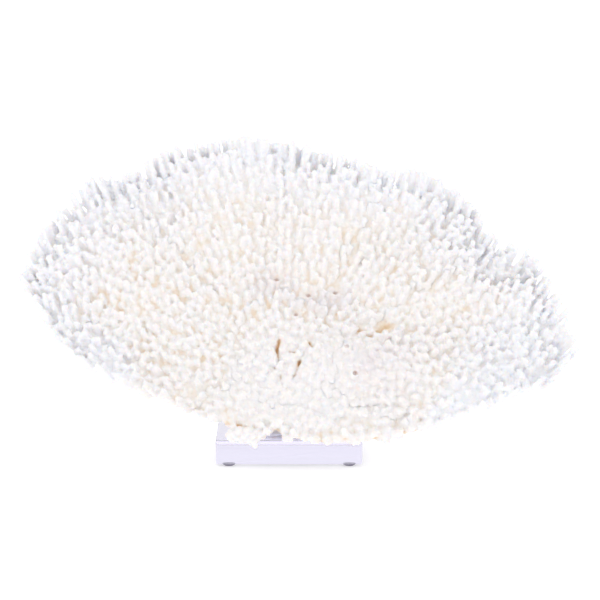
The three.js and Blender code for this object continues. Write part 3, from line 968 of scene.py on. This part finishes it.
def knobbly_lump(chance):
    """The lump that hangs over the block's front edge: a flattened ball set all over with small knobs."""
    half = np.array([LUMP["radius_u"] * LUMP_BODY["share_u"], LUMP["radius_v"] * LUMP_BODY["share_v"],
                     LUMP_BODY["half_height"]])
    centre = np.array([LUMP["u"], LUMP["v"], float(relief(LUMP["u"], LUMP["v"]))]) + LUMP_BODY["shift"]
    places = [centre]
    for k in range(LUMP_KNOBS["number"]):
        height = 1 - 2 * (k + 0.5) / LUMP_KNOBS["number"]
        around = polar(math.sqrt(1 - height ** 2), GOLDEN_TURN * k)
        places.append(centre + half * np.array([*around, height]))
    pieces = []
    for place in places:
        body = place is centre
        bpy.ops.object.select_all(action="DESELECT")
        bpy.ops.mesh.primitive_ico_sphere_add(subdivisions=3 if body else 2, radius=1, location=place)
        piece = bpy.context.active_object
        size = chance.uniform(LUMP_KNOBS["smallest"], LUMP_KNOBS["largest"]) if not body else 0
        piece.scale = half if body else (size, size, size)
        bpy.ops.object.transform_apply(location=True, rotation=True, scale=True)
        pieces.append(piece)
    return join(pieces, "lump")


def cup_texture():
    """Round corallite cups about 3.4 mm apart, high in the middle of each cell's wall."""
    if "cups" not in bpy.data.textures:
        texture = bpy.data.textures.new("cups", "VORONOI")
        texture.noise_scale = 3.4 * MM
        texture.noise_intensity = 1.2
    return bpy.data.textures["cups"]


def open_clefts(piece):
    """Sinks the skin along the clefts, so that they stay open between the fused stubs."""
    points = to_fan(positions(piece.data))
    u, v, w = points.T
    points[:, 2] -= 0.5 * cleft_depth(u, v) * smooth(-6, 0, w - relief(u, v))
    move_vertices(piece.data, to_row(points))


def shade_by_place(piece, name, pores):
    """Stores what the material reads at each point, every value from 0 to 1.

    "rise" is how high the point stands between its neighbours, and the material paints the low points as
    shade between the branchlets, "rim" how near the rim it is, "cleft" a warm stain deepened by painted
    shade, "pore" painted shade in the open pores, "dust" its dusty stain, and "whole" is 0 at the lobe's
    seams.
    """
    points = to_fan(positions(piece.data))
    u, v, w = points.T
    r, tips, above = np.hypot(u, v), reach(u, v), w - relief(u, v)
    left, cleft, web, depth = tips - r, cleft_depth(u, v), webbing(u, v), thickness(u, v)
    length = branchlet_length(u, v) * growth(u, v)[:, 2]
    # The underside is painted lighter, out of the gaps' painted shade and up towards the tip colour, as
    # painted light where it would render dark
    under = 0.25 * smooth(0.3 * depth, 0.5 * depth, -above)
    under += 0.55 * smooth(0.5 * depth, 0.75 * depth + 3, -above)
    # rise sets the painted shade: low between the branchlets the material gives the warm gap colour, partly
    # real stain and partly painted shade
    rise = np.maximum(np.clip((above - 0.7 * web) / (0.85 * length - 0.7 * web), 0, 1), under)
    # In the clefts the low points keep the painted shade
    rise = np.where((cleft > 3) & (above > -4), np.minimum(rise, np.clip(above / 9, 0, 1)), rise)
    # Less painted shade where the stubs are fused, along the rim and the lip's edge, towards the front and on
    # the lump
    fused = np.maximum(smooth(80, 40, r), hump(u, v, MOUND))
    edge = mix(0.55 * smooth(0.14, 0.03, left / tips), 0.8 * smooth(10, 3, left), lip_share(u, v))
    front = 0.3 * smooth(40, -20, v) * (1 - knob_share(u, v))
    lump = np.clip(1.4 * hump(u, v, LUMP), 0, 0.7)
    for least in (0.4 * fused * (cleft < 2), edge, front * (cleft < 2), lump * (cleft < 1)):
        rise = np.maximum(rise, least)
    # The open pores are marked for painted shade
    pore = np.zeros(len(u))
    for place in pores:
        pore = np.maximum(pore, smooth(3.2, 1.2, np.linalg.norm(points - place, axis=1)))
    dust = sum(hump(u, v, patch) for patch in DUSTY)
    values = {
        "rise": rise,
        "rim": np.clip(r / tips + 0.2 * smooth(70, 0, v), 0, 1) * smooth(100, 180, r),
        "cleft": np.clip(cleft / 7, 0, 1) * smooth(-5, -3, above) * (1 - smooth(-2, 7, above)),
        "pore": pore,
        "dust": np.clip(dust, 0, 1) * smooth(-3, 0, above),
        "whole": smooth(0.4, 3.4, np.abs(overshoot(u, v, name))),
    }
    for key, value in values.items():
        piece.data.attributes.new(key, "FLOAT", "POINT")
        piece.data.attributes[key].data.foreach_set("value", np.asarray(value, np.float32))


def node(tree, kind, links=(), **settings):
    """Adds a node; settings name its own properties or inputs, links are (from socket, input) pairs."""
    made = tree.nodes.new(kind)
    for key, value in settings.items():
        if hasattr(made, key):
            setattr(made, key, value)
        else:
            made.inputs[key.replace("_", " ")].default_value = value
    for source, target in links:
        tree.links.new(source, made.inputs[target])
    return made


def new_material(name, **values):
    """A material with one Principled shader, whose sockets the values name."""
    material = bpy.data.materials.new(name)
    material.use_nodes = True
    tree = material.node_tree
    tree.nodes.clear()
    shader = node(tree, "ShaderNodeBsdfPrincipled", **values)
    output = node(tree, "ShaderNodeOutputMaterial", [(shader.outputs["BSDF"], "Surface")])
    return material, tree, shader, output


@functools.lru_cache(maxsize=1)
def bleached_skeleton():
    """Bleached aragonite coral skeleton.

    A chalky, porous white that lets light through its thin tips, covered in corallite cups 2 to 3 mm apart,
    with a warm tone deep between the branchlets that is partly old stain and partly painted shade.
    """
    colours = bpy.context.scene.coral_colours
    material, tree, shader, _ = new_material(
        "bleached_aragonite", Roughness=0.82, IOR=1.55,
        Subsurface_Radius=(1.0, 0.86, 0.72), Subsurface_Scale=2.8 * MM)
    place = node(tree, "ShaderNodeTexCoord").outputs["Object"]
    by_place = {name: node(tree, "ShaderNodeAttribute", attribute_name=name).outputs["Fac"]
                for name in ("whole", "rise", "rim", "cleft", "dust", "pore")}
    # Light spreads inside the whole skeleton, but not across the seams where two lobes touch
    tree.links.new(by_place["whole"], shader.inputs["Subsurface Weight"])
    # Patches of stain 20 mm across shift the tones
    patches = node(tree, "ShaderNodeTexNoise", [(place, "Vector")], Scale=1 / (20 * MM),
                   Detail=3.0).outputs["Fac"]
    shift = node(tree, "ShaderNodeMath", [(patches, 0)], operation="MULTIPLY_ADD")
    shift.inputs[1].default_value = 0.5
    shift.inputs[2].default_value = -0.25
    height = node(tree, "ShaderNodeMath", [(by_place["rise"], 0), (shift.outputs["Value"], 1)],
                  operation="ADD", use_clamp=True)
    # The ramps run up to the tips from the gap colour, which is partly real stain and partly painted shade
    # low between the branchlets
    tones = []
    for stops in ([(0.0, colours.gap), (0.32, colours.flank), (0.8, colours.tip)],
                  [(0.0, colours.flank), (0.3, colours.rim_tip), (1.0, colours.rim_tip)]):
        tone = node(tree, "ShaderNodeValToRGB", [(height.outputs["Value"], "Fac")])
        tone.color_ramp.elements.new(1.0)
        for element, (level, colour) in zip(tone.color_ramp.elements, stops):
            element.position = level
            element.color = linear(colour)
        tones.append(tone.outputs["Color"])
    # The warm tones turn to the cool ones towards the rim
    outward = node(tree, "ShaderNodeMapRange", [(by_place["rim"], "Value")], interpolation_type="SMOOTHSTEP",
                   From_Min=0.62, From_Max=1.0)
    colour = node(tree, "ShaderNodeMix", [(outward.outputs["Result"], 0), (tones[0], 6), (tones[1], 7)],
                  data_type="RGBA").outputs[2]
    thinned = node(tree, "ShaderNodeMath", [(by_place["dust"], 0), (patches, 1)], operation="MULTIPLY")
    # Over the tones go the clefts' stain deepened as painted shade, the dusty stain and the painted shade of
    # the open pores
    for share, stain in ((by_place["cleft"], colours.cleft), (thinned.outputs["Value"], colours.dust),
                         (by_place["pore"], colours.pore)):
        layer = node(tree, "ShaderNodeMix", [(share, 0), (colour, 6)], data_type="RGBA")
        layer.inputs[7].default_value = linear(stain)
        colour = layer.outputs[2]
    tree.links.new(colour, shader.inputs["Base Color"])
    # Corallite cups 2.6 mm apart and the grain of the skeleton, drawn 0.7 mm coarse so that it shows
    cups = node(tree, "ShaderNodeTexVoronoi", [(place, "Vector")], Scale=1 / (2.6 * MM))
    grain = node(tree, "ShaderNodeTexNoise", [(place, "Vector")], Scale=1 / (0.7 * MM), Detail=2.0)
    pits = node(tree, "ShaderNodeBump", [(cups.outputs["Distance"], "Height")],
                Strength=0.55, Distance=0.9 * MM)
    fine = node(tree, "ShaderNodeBump",
                [(grain.outputs["Fac"], "Height"), (pits.outputs["Normal"], "Normal")],
                Strength=0.35, Distance=0.4 * MM)
    tree.links.new(fine.outputs["Normal"], shader.inputs["Normal"])
    return material


def cast_acrylic():
    """Clear cast acrylic, saw-cut and flame-polished.

    Glass-clear with mirror-smooth faces, a faint violet cast through its thickness and bright polished edges.
    """
    material, tree, _, output = new_material(
        "cast_acrylic", Base_Color=linear("F6F4FE"), Roughness=0.015, Transmission_Weight=1.0,
        IOR=bpy.context.scene.stand_sizes.acrylic_ior)
    depth = node(tree, "ShaderNodeVolumeAbsorption", Color=linear("D9D3F4"), Density=2.5)
    tree.links.new(depth.outputs["Volume"], output.inputs["Volume"])
    return material


def soft_bumper():
    """Clear cast polyurethane, slightly hazy and greyer than the block it carries, the grey partly painted
    shade where the feet stand on the floor.
    """
    return new_material("clear_polyurethane", Base_Color=linear("8F8A9C"), Roughness=0.22,
                        Transmission_Weight=0.6, IOR=1.5)[0]


def finish_piece(piece, slot, material, *nodes):
    """Gives a finished piece its material and body, and hides the solids that it stands for."""
    if not piece.data.polygons:
        raise RuntimeError(f"{piece.name} has no faces")
    piece.data.materials.clear()
    piece.data.materials.append(material)
    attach(piece, "root")
    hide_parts(*nodes)


def shade_smooth(piece, angle):
    """Shades a piece smooth but for edges sharper than an angle in degrees."""
    only(piece)
    bpy.ops.object.shade_smooth_by_angle(angle=math.radians(angle))


class CORAL_OT_lobe(bpy.types.Operator):
    """Grows one lobe of the fan, or the crown with the stalk, as a fused skin of branchlets"""

    bl_idname = "coral.lobe"
    bl_label = "Grow lobe"

    lobe: StringProperty(name="Lobe", description="Name of the solid that this lobe replaces",
                         default="coral_back_fan")

    def execute(self, context):
        if self.lobe not in ("coral_stalk", *LOBES):
            raise ValueError(f"no solid is named {self.lobe}")
        piece, pores = grow_piece(self.lobe)
        open_clefts(piece)
        shade_by_place(piece, self.lobe, pores)
        finish_piece(piece, "coral", bleached_skeleton(), self.lobe)
        return {"FINISHED"}


class CORAL_OT_block(bpy.types.Operator):
    """Makes the clear stand block with rounded corners and polished edges"""

    bl_idname = "coral.block"
    bl_label = "Add block"

    def execute(self, context):
        edge = context.scene.stand_sizes.edge
        bpy.ops.object.select_all(action="DESELECT")
        bpy.ops.mesh.primitive_cube_add(size=1, location=BLOCK_MIDDLE, scale=BLOCK_HIGH - BLOCK_LOW)
        piece = context.active_object
        piece.name = "clear_block"
        bpy.ops.object.transform_apply(location=True, rotation=True, scale=True)
        radius, segments = BLOCK_CORNER
        round_edges(piece, lambda a, b: abs(a.z - b.z) > 1e-4, radius * MM, segments)
        top, bottom = BLOCK_HIGH.z, BLOCK_LOW.z
        round_edges(piece, lambda a, b: min(abs(a.z - top) + abs(b.z - top),
                                            abs(a.z - bottom) + abs(b.z - bottom)) < 1e-5, edge, 3)
        shade_smooth(piece, 30)
        finish_piece(piece, "acrylic", cast_acrylic(), "acrylic_block")
        return {"FINISHED"}


def round_edges(piece, test, width, segments):
    """Bevels the edges whose two ends pass a test."""
    with edit_mode(piece, "DESELECT"):
        bpy.ops.mesh.select_mode(type="EDGE")
    points = piece.data.vertices
    for edge in piece.data.edges:
        edge.select = test(points[edge.vertices[0]].co, points[edge.vertices[1]].co)
    with edit_mode(piece, None):
        bpy.ops.mesh.bevel(offset=width, offset_type="OFFSET", segments=segments, affect="EDGES")


class CORAL_OT_feet(bpy.types.Operator):
    """Makes one domed bumper foot and sets a copy under each corner of the block"""

    bl_idname = "coral.feet"
    bl_label = "Add feet"

    def execute(self, context):
        rings = [[(x * r * MM, y * r * MM, z * MM) for x, y, _ in circle(FOOT_SIDES)]
                 for z, r in FOOT_OUTLINE]
        pattern = loft(rings, FOOT_SIDES)
        material = soft_bumper()
        shade_smooth(pattern, 40)
        for foot in FOOT_NODES:
            low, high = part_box(foot)
            piece = bpy.data.objects.new(foot.replace("bumper_foot", "bumper"), pattern.data.copy())
            context.scene.collection.objects.link(piece)
            only(piece)
            points = positions(piece.data)
            points[:, :2] += np.array(((low + high) / 2).to_2d())
            if "front" in foot:
                points[points[:, 2] > 2.9 * MM, 2] = BLOCK_LOW.z + FOOT_WETTING * MM
            move_vertices(piece.data, points)
            finish_piece(piece, "bumper", material, foot)
        bpy.data.objects.remove(pattern)
        return {"FINISHED"}


class CORAL_OT_stage(bpy.types.Operator):
    """Lays the pale floor, sets the soft lights and points the camera"""

    bl_idname = "coral.stage"
    bl_label = "Set stage"

    def execute(self, context):
        scene = context.scene
        settings = scene.stage_settings
        bpy.ops.object.select_all(action="DESELECT")
        bpy.ops.mesh.primitive_plane_add(size=FLOOR["size"])
        floor = context.active_object
        floor.name = "floor"
        floor.data.materials.append(new_material(
            "pale_paper", Base_Color=linear(FLOOR["colour"]), Roughness=0.9,
            Emission_Color=linear("FFFFFF"), Emission_Strength=FLOOR["glow"])[0])
        scene.world = bpy.data.worlds.new("studio")
        scene.world.use_nodes = True
        background = scene.world.node_tree.nodes["Background"]
        background.inputs["Color"].default_value = linear(STUDIO["colour"])
        background.inputs["Strength"].default_value = STUDIO["strength"]
        aim = Vector((BLOCK_MIDDLE.x, BLOCK_MIDDLE.y, 0)) + Vector(AIM) * MM
        for name, place, size, power, colour in LIGHTS:
            light = bpy.data.lights.new(name, "AREA")
            light.size = size
            light.energy = power
            light.color = linear(colour)[:3]
            lamp = bpy.data.objects.new(name, light)
            scene.collection.objects.link(lamp)
            lamp.location = Vector(place)
            lamp.rotation_euler = (aim - lamp.location).to_track_quat("-Z", "Y").to_euler()
        camera = bpy.data.objects.new("camera", bpy.data.cameras.new("camera"))
        scene.collection.objects.link(camera)
        away = Vector((0, -math.cos(settings.elevation), math.sin(settings.elevation)))
        camera.location = aim + settings.distance * away
        camera.rotation_euler = (-away).to_track_quat("-Z", "Y").to_euler()
        camera.data.sensor_width = LENS["sensor"]
        camera.data.lens = LENS["focal"]
        camera.data.clip_end = 100
        scene.camera = camera
        scene.view_settings.view_transform = "Standard"
        return {"FINISHED"}


class CORAL_PT_panel(bpy.types.Panel):
    bl_idname = "CORAL_PT_panel"
    bl_label = "Table coral"
    bl_space_type = "VIEW_3D"
    bl_region_type = "UI"
    bl_category = "Table coral"

    def draw(self, context):
        column = self.layout.column()
        for settings in ("fan_sizes", "branchlet_sizes", "coral_colours", "stand_sizes", "stage_settings"):
            group = getattr(context.scene, settings)
            for name in group.__annotations__:
                column.prop(group, name)
        for lobe in ["coral_stalk", *LOBES]:
            column.operator("coral.lobe", text="Grow " + lobe.replace("_", " ")).lobe = lobe
        for action in ("coral.block", "coral.feet", "coral.stage"):
            column.operator(action)


SETTINGS = {
    "fan_sizes": FanSizes, "branchlet_sizes": BranchletSizes, "coral_colours": CoralColours,
    "stand_sizes": StandSizes, "stage_settings": StageSettings,
}
ACTIONS = (CORAL_OT_lobe, CORAL_OT_block, CORAL_OT_feet, CORAL_OT_stage, CORAL_PT_panel)


def register():
    for name, group in SETTINGS.items():
        bpy.utils.register_class(group)
        setattr(bpy.types.Scene, name, PointerProperty(type=group))
    for action in ACTIONS:
        bpy.utils.register_class(action)


def unregister():
    for action in reversed(ACTIONS):
        bpy.utils.unregister_class(action)
    for name, group in SETTINGS.items():
        delattr(bpy.types.Scene, name)
        bpy.utils.unregister_class(group)


def main():
    register()
    for lobe in ["coral_stalk", *LOBES]:
        bpy.ops.coral.lobe(lobe=lobe)
    bpy.ops.coral.block()
    bpy.ops.coral.feet()
    bpy.ops.coral.stage()


if __name__ == "__main__":
    main()
